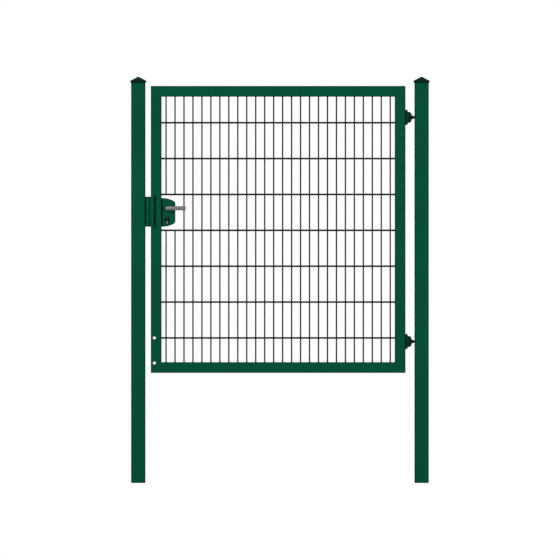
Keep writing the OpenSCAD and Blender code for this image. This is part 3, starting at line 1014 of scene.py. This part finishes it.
@dataclass
class WireMat:
    """The double-rod mat: single upright wires between pairs of level wires."""

    upright_radius: float = 0.004
    level_radius: float = 0.005
    pitch: float = 0.05           # between upright wires
    level_pitch: float = 0.2      # between pairs of level wires
    first_level: float = 0.135    # above the frame's lower rail
    level_count: int = 7
    level_offset: float = 0.0085  # of a level wire from the mat's middle
    cut_count: int = 2            # uprights that are cut out beside the lock
    cut_bay: int = 3              # the pair of levels under the cut
    bead: Point = (0.0058, 0.0016, 0.0044)    # half the size of a spot weld
    bead_sides: int = 8
    bead_rings: int = 4
    collar: float = 0.0016        # how far a weld spreads on the frame
    collar_height: float = 0.0022
    sides: int = 12               # of a wire

    @property
    def levels(self) -> list[float]:
        """Works out the heights of the pairs of level wires.

        Returns:
            The heights, from the lowest up.
        """
        low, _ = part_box("wire_mat")
        return [low.z + self.first_level + k * self.level_pitch
                for k in range(self.level_count)]

    @property
    def uprights(self) -> list[float]:
        """Works out the places of the upright wires.

        Returns:
            Their places along x, from the lock to the hinges.
        """
        low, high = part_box("wire_mat")
        count = round((high.x - low.x) / self.pitch)
        start = (low.x + high.x - (count - 1) * self.pitch) / 2
        return [start + i * self.pitch for i in range(count)]

    def build(self) -> list[Object]:
        """Builds the wires and their welds."""
        return [self.wires(), self.spot_welds(), self.frame_welds()]

    def wires(self) -> Object:
        """Lays the wires.

        Returns:
            The wires.
        """
        low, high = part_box("wire_mat")
        levels, stock = self.levels, Stock()
        under, over = levels[self.cut_bay], levels[self.cut_bay + 1]
        r = self.upright_radius
        for number, x in enumerate(self.uprights):
            runs = [(low.z, high.z)]
            if number < self.cut_count:
                runs = [(low.z, under + self.level_radius),
                        (over - self.level_radius, high.z)]
            for start, end in runs:
                stock.rod((x, 0, start), Axis.Z, end - start, (r, r), self.sides)
        for z in levels:
            for side in Side:
                start = (low.x, side.value * self.level_offset, z)
                radii = (self.level_radius, self.level_radius)
                stock.rod(start, Axis.X, high.x - low.x, radii, self.sides)
        return stock.piece("mat_wires", Paintshop.WIRE, Body.LEAF, "wire_mat")

    def spot_welds(self) -> Object:
        """Puts a small bead where each pair of wires is welded.

        Returns:
            The beads.
        """
        stock = Stock()
        touch = self.level_offset - self.level_radius
        for z in self.levels:
            for x in self.uprights:
                for side in Side:
                    made = bmesh.ops.create_uvsphere(
                        stock.bm, u_segments=self.bead_sides, v_segments=self.bead_rings,
                        radius=1.0)["verts"]
                    bmesh.ops.scale(stock.bm, vec=self.bead, verts=made)
                    place = (x, side.value * touch, z)
                    bmesh.ops.translate(stock.bm, vec=place, verts=made)
        return stock.piece("mat_spot_welds", Paintshop.WIRE, Body.LEAF)

    def frame_welds(self) -> Object:
        """Puts a small collar of weld where each wire meets the frame.

        Returns:
            The collars.
        """
        low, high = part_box("wire_mat")
        stock, tall = Stock(), self.collar_height
        r = self.upright_radius
        for x in self.uprights:
            wide = (r + self.collar, r)
            stock.rod((x, 0, low.z), Axis.Z, tall, wide, self.sides)
            stock.rod((x, 0, high.z - tall), Axis.Z, tall, wide[::-1], self.sides)
        r = self.level_radius
        for z in self.levels:
            for side in Side:
                y = side.value * self.level_offset
                wide = (r + self.collar, r)
                stock.rod((low.x, y, z), Axis.X, tall, wide, self.sides)
                stock.rod((high.x - tall, y, z), Axis.X, tall, wide[::-1], self.sides)
        return stock.piece("mat_frame_welds", Paintshop.WIRE, Body.LEAF)


# ------------------------------------------------------------------ hinges

HEX_CUTS = 5                    # cuts along each side, so that the chamfer is round
HEX_LAYERS = (0.3, 0.4, 0.3)    # a hexagon's layers, as shares of its height
HEX_ROUND = 1.01                # where its chamfer starts, as a share of the inner circle
HEX_SLOPE = math.tan(math.radians(30))      # of the chamfer


def hexagon(stock: Stock, centre: Point, axis: Axis, height: float, across_flats: float,
            corner_up: bool, both_ends: bool) -> None:
    """Adds a hexagonal head or nut with the usual conical chamfer.

    Args:
        stock: the stock to add it to.
        centre: the centre of its first end.
        axis: X or Z, the axis that it lies along.
        height: its height, negative to go the other way.
        across_flats: its width across the flats.
        corner_up: whether a corner, and not a flat, lies across the axis.
        both_ends: whether its first end is chamfered too.
    """
    bm = stock.bm
    known = set(bm.faces)
    corner = across_flats / math.sqrt(3)
    ring = bmesh.ops.create_circle(bm, cap_ends=True, segments=6, radius=corner)["verts"]
    if not corner_up:
        turn = Matrix.Rotation(math.radians(30), 3, "Z")
        bmesh.ops.rotate(bm, cent=(0, 0, 0), matrix=turn, verts=ring)
    face = next(f for f in bm.faces if f not in known)
    bmesh.ops.subdivide_edges(bm, edges=list(face.edges), cuts=HEX_CUTS)
    face = next(f for f in bm.faces if f not in known)
    rings = [list(face.verts)]
    for share in HEX_LAYERS:
        face = stock.raise_face(face, (0, 0, height * share))
        rings.append(list(face.verts))
    foot, lower, upper, top = rings
    inner = across_flats / 2 * HEX_ROUND
    slope = math.copysign(HEX_SLOPE, height)
    chamfers = [(top, upper, height, -slope)]
    if both_ends:
        chamfers.append((foot, lower, 0.0, slope))
    for face_ring, side_ring, end, drop in chamfers:
        for v in face_ring:
            pull = min(1.0, inner / math.hypot(v.co.x, v.co.y))
            v.co.x, v.co.y = v.co.x * pull, v.co.y * pull
        for v in side_ring:
            over = max(0.0, math.hypot(v.co.x, v.co.y) - inner)
            v.co.z = end + over * drop
    points = sum(rings, [])
    turn = Vector((0, 0, 1)).rotation_difference(axis.along).to_matrix()
    bmesh.ops.rotate(bm, cent=(0, 0, 0), matrix=turn, verts=points)
    bmesh.ops.translate(bm, vec=Vector(centre), verts=points)


@dataclass
class Hinge:
    """One adjustable hinge: bracket, screws, pin, eye bolt and lock nut."""

    storey: Storey
    eye_radius: float = 0.0115
    eye_half: float = 0.014       # half the eye's height
    bore_radius: float = 0.00605
    nose_half: float = 0.0112     # half the depth of the eye's flat nose
    shank_radius: float = 0.008
    shank_chamfer: float = 0.0015
    thread_pitch: float = 0.002
    thread_depth: float = 0.0011
    thread_turns: int = 6         # turns that are cut beyond the nut
    sunk: float = 0.001           # how far the shank goes into the eye's nose
    screw_radius: float = 0.003
    screw_tip: float = 0.001      # length of its chamfered tip
    tip_share: float = 0.8        # the tip's share of the radius
    screw_flange: float = 0.0053
    flange_height: float = 0.0015
    flange_edge: float = 0.0002
    flange_side: float = 0.5      # the upright share of the flange's height
    flange_top: float = 0.86      # its top's share of the radius
    head_start: float = 0.6       # where in the flange's height the head starts
    head_flats: float = 0.010
    head_height: float = 0.005
    nut_flats: float = 0.024
    chamfer: float = 0.0009
    dimple: Flat = (0.3, 0.001)   # in the pin's top: share of its radius, and depth
    bracket_edge: float = 0.0008  # rounding of the bracket's edges, which get painted shade
    bracket_sharp: float = 35.0   # degrees, above which its edges are rounded
    bracket_short: float = 0.003  # length, below which they aren't

    def node(self, part: str) -> str:
        """The name of one of the hinge's CAD nodes."""
        return f"{self.storey.value}_{part}"

    @property
    def pivot(self) -> Vector:
        """The centre of the hinge pin."""
        return middle(self.node("hinge_pin"))

    def build(self) -> list[Object]:
        """Builds the hinge's five pieces."""
        return [self.bracket(), self.screws(), self.pin(), self.eye(), self.nut()]

    def bracket(self) -> Object:
        """Softens the edges of the bracket's body.

        Returns:
            The bracket.
        """
        node = self.node("hinge_bracket")
        stock = Stock()
        stock.copy_node(node)
        stock.soften(self.bracket_edge, sharper=self.bracket_sharp,
                     longer=self.bracket_short)
        return stock.piece(node + "_body", Paintshop.BRACKET, Body.LEAF, node)

    def screws(self) -> Object:
        """Makes the two flanged screws.

        Returns:
            The screws.
        """
        node = self.node("bracket_screws")
        low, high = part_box(node)
        stock = Stock()
        seat_x = high.x - self.flange_height - self.head_height
        end, r, edge = low.x - seat_x, self.screw_radius, self.flange_edge
        f, t = self.screw_flange, self.flange_height
        start = t * self.head_start
        for z in (low.z + f, high.z - f):
            seat = Vector((seat_x, self.pivot.y, z))
            stock.lathe(seat, Axis.X, [
                (end, 0.0), (end, r * self.tip_share), (end + self.screw_tip, r), (0.0, r),
                (0.0, f - edge), (edge, f), (t * self.flange_side, f),
                (t, f * self.flange_top), (t, 0.0)], 32)
            hexagon(stock, seat + Vector((start, 0, 0)), Axis.X,
                    self.head_height + t - start, self.head_flats, False, False)
        return stock.piece(self.node("bracket_bolts"), Paintshop.BLACK_STEEL, Body.LEAF, node)

    def pin(self) -> Object:
        """Turns the hinge pin.

        Returns:
            The pin.
        """
        node = self.node("hinge_pin")
        low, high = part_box(node)
        r, half, c = (high.x - low.x) / 2, (high.z - low.z) / 2, self.chamfer
        share, depth = self.dimple
        stock = Stock()
        stock.lathe(self.pivot, Axis.Z, [
            (-half, 0.0), (-half, r - c), (c - half, r), (half - c, r), (half, r - c),
            (half, r * share), (half - depth, 0.0)], 40)
        return stock.piece(node + "_turned", Paintshop.STAINLESS, Body.LEAF, node)

    def eye(self) -> Object:
        """Makes the eye with its flat nose and its threaded shank.

        Returns:
            The eye bolt.
        """
        node = self.node("eye_bolt")
        _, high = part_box(node)
        nut_low, nut_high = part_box(self.node("lock_nut"))
        pivot, c = self.pivot, self.chamfer
        half = self.eye_half
        outer, bore = self.eye_radius, self.bore_radius
        stock = Stock()
        stock.lathe(pivot, Axis.Z, [
            (-half, bore + c / 2), (-half, outer - c), (c - half, outer), (half - c, outer),
            (half, outer - c), (half, bore + c / 2), (half - c / 2, bore),
            (c / 2 - half, bore)], ring=True)
        nose = stock.block((pivot.x + bore + c, pivot.y - self.nose_half, pivot.z - half),
                           (nut_low.x, pivot.y + self.nose_half, pivot.z + half))
        stock.soften(c, only=nose)
        r, cut, foot = self.shank_radius, self.shank_chamfer, nut_low.x - self.sunk
        root, flat = r - self.thread_depth, self.thread_pitch / 8
        profile = [(foot, 0.0), (foot, r)]
        x = nut_high.x - self.thread_pitch
        while x < nut_high.x + self.thread_turns * self.thread_pitch:
            profile += [(x, r), (x + flat, r), (x + 4 * flat, root), (x + 5 * flat, root)]
            x += self.thread_pitch
        profile += [(x, r), (high.x - cut, r), (high.x, r - cut), (high.x, 0.0)]
        stock.lathe((0, pivot.y, pivot.z), Axis.X, profile, 32)
        return stock.piece(node + "_threaded", Paintshop.BLACK_STEEL, Body.POSTS, node)

    def nut(self) -> Object:
        """Makes the lock nut.

        Returns:
            The nut.
        """
        node = self.node("lock_nut")
        low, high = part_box(node)
        stock = Stock()
        hexagon(stock, (low.x, self.pivot.y, self.pivot.z), Axis.X, high.x - low.x,
                self.nut_flats, True, True)
        return stock.piece(node + "_chamfered", Paintshop.BLACK_STEEL, Body.POSTS, node)


# ------------------------------------------------------------------ lock

@dataclass
class Lock:
    """The lock: case, bushes, collars, cylinder, latch and deadbolt."""

    arc: float = 0.131            # radius of the case's long arcs
    corner: float = 0.018         # radius of its outer corners
    rim: float = 0.0016           # rounding of its front and back rim, which gets painted shade
    arc_steps: int = 12           # of each long arc
    corner_steps: int = 10        # of each outer corner
    bush_bore: float = 0.0088
    bush_chamfer: float = 0.0009
    round_up: float = 0.0120      # radius of the collar's upper end, without its lip
    round_down: float = 0.0085    # radius of its lower end, without its lip
    lip: float = 0.0014           # how far its moulded lip stands out all round
    web: float = 0.0195           # from the plug's centre down to the lower end
    round_steps: int = 20         # of each end
    collar_edge: float = 0.0008   # rounding of the collar's edges
    latch_slant: float = 0.012    # how far the latch's tip is slanted
    latch_flat: float = 0.4       # where the slant starts, as a share of half its depth
    latch_corner: float = 0.0015  # rounding of the tip's corners
    latch_edge: float = 0.0005    # rounding of its edges
    bolt_edge: float = 0.001      # rounding of the deadbolt's edges

    def build(self) -> list[Object]:
        """Builds the lock's pieces and dresses the nodes that are shown.

        Returns:
            The pieces and the nodes.
        """
        return [self.case(), self.bushes(), self.collars(), self.latch(), self.deadbolt(),
                *dress(Paintshop.BLACK_PLASTIC, "lock_base"),
                *dress(self.nickel_with_painted_shade(), "lock_cylinder"),
                *dress(Paintshop.PLUG, "key_plug")]

    def nickel_with_painted_shade(self) -> Finish:
        """Mixes the cylinder's nickel, with painted shade in a ring round the plug and beside
        its web.

        Returns:
            The finish.
        """
        base, plug = Paintshop.NICKEL, middle("key_plug")
        return PaintedShadeMetal("nickel_with_painted_shade", base.slot, base.colour, base.roughness,
                           metallic=base.metallic, relief=base.relief, lines=base.lines,
                           mottle=base.mottle, centre=(plug.x, plug.z))

    def case(self) -> Object:
        """Makes the case: long arcs at its top and bottom, rounded outer corners.

        Returns:
            The case.
        """
        low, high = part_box("lock_case")
        half, wide = (high.z - low.z) / 2, high.x - low.x
        z = (high.z + low.z) / 2
        arc_z = half - self.arc
        far = self.arc - self.corner
        corner_x = wide - self.corner
        corner_z = arc_z + math.sqrt(far ** 2 - corner_x ** 2)
        meet = math.degrees(math.atan2(corner_z - arc_z, corner_x))
        stock = Stock()
        outline = Outline(stock, Plane.FRONT, low.y, (low.x, z - half))
        outline.turn((low.x, z - arc_z), 90 - meet, self.arc_steps)
        outline.turn((low.x + corner_x, z - corner_z), meet, self.corner_steps)
        outline.to((high.x, z + corner_z))
        outline.turn((low.x + corner_x, z + corner_z), meet, self.corner_steps)
        outline.turn((low.x, z + arc_z), 90 - meet, self.arc_steps)
        outline.extrude(high.y - low.y)
        stock.soften(self.rim, 3)
        return stock.piece("lock_case_shell", Paintshop.COAT, Body.LEAF, "lock_case")

    def bushes(self) -> Object:
        """Turns the two bushes round the handles' necks.

        Returns:
            The bushes.
        """
        low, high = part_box("handle_bushes")
        case_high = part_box("lock_case")[1]
        centre = middle("handle_bushes")
        outer, thick = (high.x - low.x) / 2, high.y - case_high.y
        c = self.bush_chamfer
        stock = Stock()
        seat = (centre.x, case_high.y, centre.z)
        stock.lathe(seat, Axis.Y, [
            (0.0, self.bush_bore), (0.0, outer), (thick - c, outer),
            (thick - c / 3, outer - c / 3), (thick, outer - c), (thick, self.bush_bore)],
            ring=True)
        stock.mirror_y()
        return stock.piece("lever_bushes", Paintshop.BLACK_PLASTIC, Body.LEAF,
                           "handle_bushes")

    def collars(self) -> Object:
        """Makes the drop-shaped collars round the cylinder.

        Returns:
            The collars.
        """
        low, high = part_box("cylinder_collars")
        case_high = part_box("lock_case")[1]
        x, z = (low.x + high.x) / 2, high.z - self.round_up
        low_z = z - self.web
        upper, lower = self.round_up + self.lip, self.round_down + self.lip
        lean = math.degrees(math.asin((upper - lower) / self.web))
        start, down = math.radians(lean), math.radians(180 - lean)
        stock = Stock()
        first = (x + upper * math.cos(start), z + upper * math.sin(start))
        outline = Outline(stock, Plane.FRONT, case_high.y, first)
        outline.turn((x, z), 180 - 2 * lean, self.round_steps)
        outline.to((x + lower * math.cos(down), low_z + lower * math.sin(down)))
        outline.turn((x, low_z), 180 + 2 * lean, self.round_steps)
        outline.extrude(high.y - case_high.y)
        stock.soften(self.collar_edge)
        stock.mirror_y()
        return stock.piece("cylinder_covers", Paintshop.BLACK_PLASTIC, Body.LEAF,
                           "cylinder_collars")

    def latch(self) -> Object:
        """Makes the latch with its slanted tip.

        Returns:
            The latch.
        """
        low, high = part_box("latch_bolt")
        half = high.y
        stock = Stock()
        outline = Outline(stock, Plane.PLAN, low.z, (low.x, half))
        outline.to((low.x, half * self.latch_flat), self.latch_corner)
        outline.to((low.x + self.latch_slant, -half), self.latch_corner)
        outline.to((high.x, -half)).to((high.x, half))
        outline.extrude(high.z - low.z)
        stock.soften(self.latch_edge, sharper=SQUARE)
        return stock.piece("latch_tongue", Paintshop.STAINLESS, Body.LATCH, "latch_bolt")

    def deadbolt(self) -> Object:
        """Makes the deadbolt.

        Returns:
            The deadbolt.
        """
        stock = Stock()
        stock.block(*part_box("deadbolt"))
        stock.soften(self.bolt_edge)
        return stock.piece("deadbolt_bar", Paintshop.STAINLESS, Body.BOLT, "deadbolt")


@dataclass
class Handles:
    """The two levers and their spindle."""

    corner: float = 0.003         # rounding of the lever's free corners
    end_steps: int = 20           # of its round end
    thickness: float = 0.009
    rim: float = 0.0018           # rounding of the lever's edges, which get painted shade
    neck_radius: float = 0.0085
    neck_sunk: float = 0.001      # how far the neck goes into the lever
    neck_flare: float = 0.0012    # how far its root flares

    def build(self) -> list[Object]:
        """Builds the levers and dresses the spindle."""
        return [self.lever("front_handle", Side.FRONT), self.lever("back_handle", Side.BACK),
                *dress(Paintshop.STAINLESS, "spindle")]

    def lever(self, node: str, side: Side) -> Object:
        """Makes one lever with its neck.

        Args:
            node: the CAD node that it stands for.
            side: the side of the leaf that it is on.

        Returns:
            The lever.
        """
        low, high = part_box(node)
        half = (high.z - low.z) / 2
        x, z = low.x + half, (high.z + low.z) / 2
        grip = low.y if side is Side.FRONT else high.y - self.thickness
        stock = Stock()
        outline = Outline(stock, Plane.FRONT, grip, (x, z + half))
        outline.turn((x, z), 180, self.end_steps)
        outline.to((high.x, z - half), self.corner).to((high.x, z + half), self.corner)
        outline.extrude(self.thickness)
        stock.soften(self.rim, 3)
        inner = low.y + self.thickness if side is Side.FRONT else high.y - self.thickness
        foot = high.y if side is Side.FRONT else low.y
        r, way, flare = self.neck_radius, -side.value, self.neck_flare
        sunk, reach = -self.neck_sunk * way, abs(foot - inner) * way
        stock.lathe((x, inner, z), Axis.Y, [
            (sunk, 0.0), (sunk, r + flare), (0.0, r + flare), (flare * way, r),
            (reach, r), (reach, 0.0)], 40)
        return stock.piece(node + "_lever", Paintshop.LEVER, Body.HANDLE, node)


# ------------------------------------------------------------------ studio

@dataclass
class Studio:
    """The camera, the lamps, the floor and the white surroundings."""

    view_width: float = 3.1226    # how much of the world the camera sees across
    aim: Point = (-0.78967, 0.0, 1.13204)
    distance: float = 8.0
    surroundings: float = 0.4     # strength of the light from all round
    lamps: tuple[tuple[Point, float, float], ...] = (
        ((-3.2, -5.0, 3.6), 2.4, 110.0),
        ((2.6, -5.5, 2.4), 2.4, 70.0),
        ((0.6, 5.0, 3.8), 2.4, 110.0),
    )
    floor_radius: float = 16.0
    floor_sides: int = 96
    floor_colour: Colour = (0.86, 0.86, 0.86)
    floor_roughness: float = 0.9
    floor_specular: float = 0.1
    floor_fade: Flat = (1.6, 4.0)     # distances between which it fades into white

    def build(self) -> None:
        """Sets the studio up."""
        scene = bpy.context.scene
        scene.view_settings.view_transform = "Standard"
        self.camera(scene)
        self.world(scene)
        for number, (place, size, power) in enumerate(self.lamps):
            self.lamp(f"softbox_{number + 1}", Vector(place), size, power)
        self.floor()

    def camera(self, scene: Scene) -> None:
        """Sets up a camera that looks straight at the front, without perspective.

        Args:
            scene: the scene that gets it.
        """
        data = bpy.data.cameras.new("camera")
        data.type = "ORTHO"
        data.ortho_scale = self.view_width
        camera = bpy.data.objects.new("camera", data)
        camera.location = Vector(self.aim) - Vector((0, self.distance, 0))
        camera.rotation_euler = (math.radians(90), 0, 0)
        scene.collection.objects.link(camera)
        scene.camera = camera

    def seen(self, bench: Bench) -> NodeSocket:
        """Tells the rays that show the background from those that light the gate.

        Args:
            bench: the bench of the material or the world.

        Returns:
            A socket with 1 for camera, mirror and glass rays.
        """
        ray = bench.node("ShaderNodeLightPath").outputs
        shiny = bench.sum("MAXIMUM", ray["Is Glossy Ray"], ray["Is Transmission Ray"])
        return bench.sum("MAXIMUM", ray["Is Camera Ray"], shiny)

    def world(self, scene: Scene) -> None:
        """Makes the surroundings white to look at and milder as a light.

        Args:
            scene: the scene that gets them.
        """
        world = bpy.data.worlds.new("surroundings")
        bench = Bench(world)
        strength = bench.sum("ADD", self.surroundings,
                             bench.sum("MULTIPLY", self.seen(bench), 1 - self.surroundings))
        ground = bench.tree.nodes["Background"]
        ground.inputs["Color"].default_value = (1, 1, 1, 1)
        bench.feed(ground.inputs["Strength"], strength)
        scene.world = world

    def lamp(self, name: str, place: Vector, size: float, power: float) -> None:
        """Hangs a square softbox that faces the gate.

        Args:
            name: its name.
            place: where it hangs.
            size: its width and height.
            power: its power.
        """
        data = bpy.data.lights.new(name, "AREA")
        data.size, data.energy = size, power
        lamp = bpy.data.objects.new(name, data)
        lamp.location = place
        lamp.rotation_euler = (Vector(self.aim) - place).to_track_quat("-Z", "Y").to_euler()
        bpy.context.scene.collection.objects.link(lamp)

    def floor(self) -> None:
        """Lays a round pale floor that fades into the white surroundings."""
        bm = bmesh.new()
        made = bmesh.ops.create_circle(bm, cap_ends=True, segments=self.floor_sides,
                                       radius=self.floor_radius)["verts"]
        centre = Vector((self.aim[0], self.aim[1], 0.0))
        bmesh.ops.translate(bm, vec=centre, verts=made)
        mesh = bpy.data.meshes.new("floor")
        bm.to_mesh(mesh)
        bm.free()
        floor = bpy.data.objects.new("floor", mesh)
        bpy.context.scene.collection.objects.link(floor)
        mesh.materials.append(self.floor_paint(centre))

    def floor_paint(self, centre: Vector) -> Material:
        """Makes the floor's paint.

        Args:
            centre: the floor's centre.

        Returns:
            The material.
        """
        paint = bpy.data.materials.new("floor_paint")
        bench = Bench(paint)
        bench.feed(bench.shader.inputs["Base Color"], (*self.floor_colour, 1.0))
        bench.feed(bench.shader.inputs["Roughness"], self.floor_roughness)
        bench.feed(bench.shader.inputs["Specular IOR Level"], self.floor_specular)
        feeds = {0: bench.coordinates.outputs["Object"], 1: centre}
        away = bench.node("ShaderNodeVectorMath", feeds, operation="DISTANCE").outputs["Value"]
        share = bench.sum("MULTIPLY", bench.fade(away, *self.floor_fade), self.seen(bench))
        white = bench.node("ShaderNodeEmission", {"Color": (1, 1, 1, 1), "Strength": 1.0})
        feeds = {0: share, 1: bench.shader.outputs[0], 2: white.outputs[0]}
        mixed = bench.node("ShaderNodeMixShader", feeds)
        output = bench.tree.nodes["Material Output"]
        bench.feed(output.inputs["Surface"], mixed.outputs[0])
        return paint


# ------------------------------------------------------------------ making


def main() -> None:
    """Sets up the studio and builds the gate, one sub-assembly after another."""
    logging.basicConfig(level=logging.INFO, format="%(name)s: %(message)s")
    Studio().build()
    for assembly in (Posts(), Keeper(), LeafFrame(), WireMat(), Hinge(Storey.UPPER),
                     Hinge(Storey.LOWER), Lock(), Handles()):
        for piece in assembly.build():
            LOG.info("%s: %s, %d faces", type(assembly).__name__, piece.name,
                     len(piece.data.polygons))


if __name__ == "__main__":
    main()
